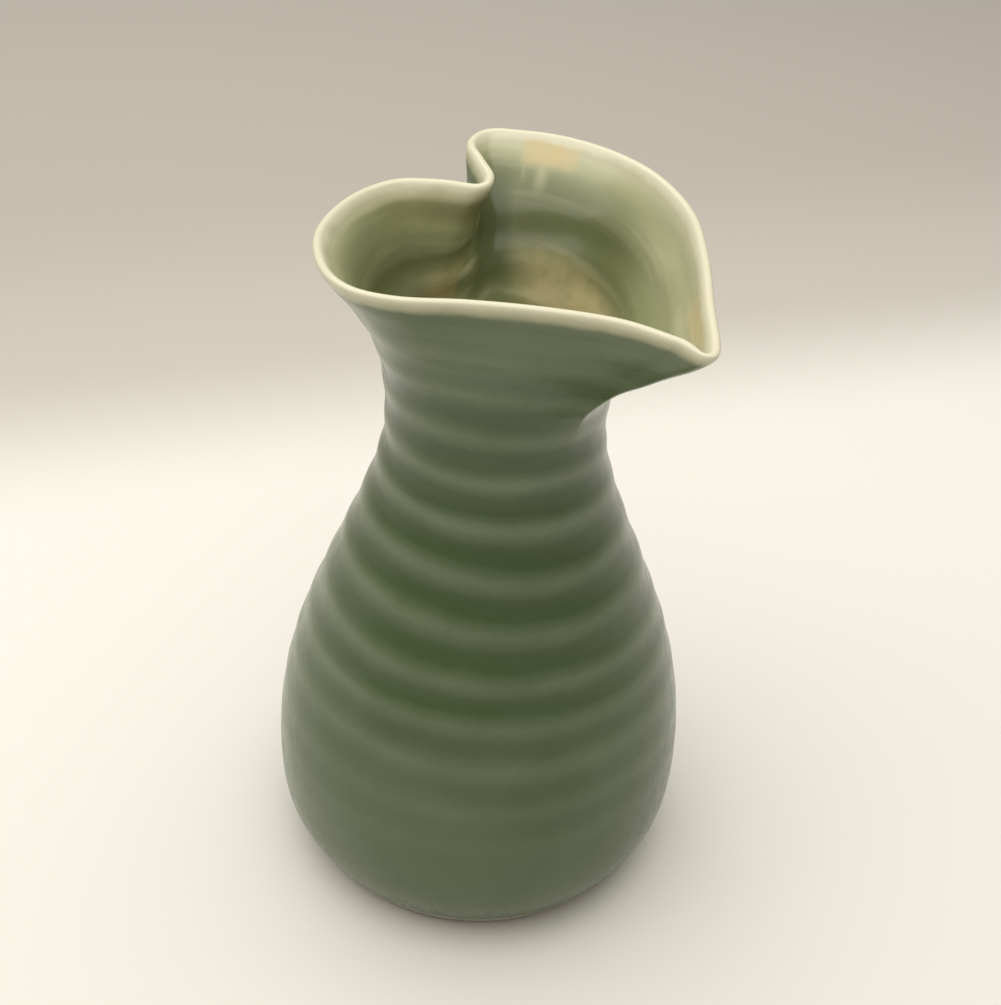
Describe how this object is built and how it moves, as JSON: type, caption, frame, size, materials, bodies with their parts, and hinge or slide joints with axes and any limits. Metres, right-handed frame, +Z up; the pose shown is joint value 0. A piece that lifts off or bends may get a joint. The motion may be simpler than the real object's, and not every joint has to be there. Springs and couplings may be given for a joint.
{
  "type": "sake bottle",
  "caption": "Round-bellied ceramic sake bottle with a narrow neck and a flared, heart-shaped mouth folded in at the back and drawn to a pouring spout at the front.",
  "frame": {"origin": "centre of the flat foot, on the surface the bottle stands on", "axes": "+Z up through the neck, +X towards the pouring spout, so the fold of the mouth is on the -X side"},
  "size_m": [0.1008, 0.0914, 0.1525],
  "materials": {
    "bare_clay": "matt",
    "celadon_outside": "gloss",
    "ivory_lip": "gloss",
    "celadon_inside": "gloss"
  },
  "bodies": {
    "root": {"clay_body": "bare_clay", "outside_glaze": "celadon_outside", "lip_glaze": "ivory_lip", "inside_glaze": "celadon_inside"}
  },
  "joints": []
}
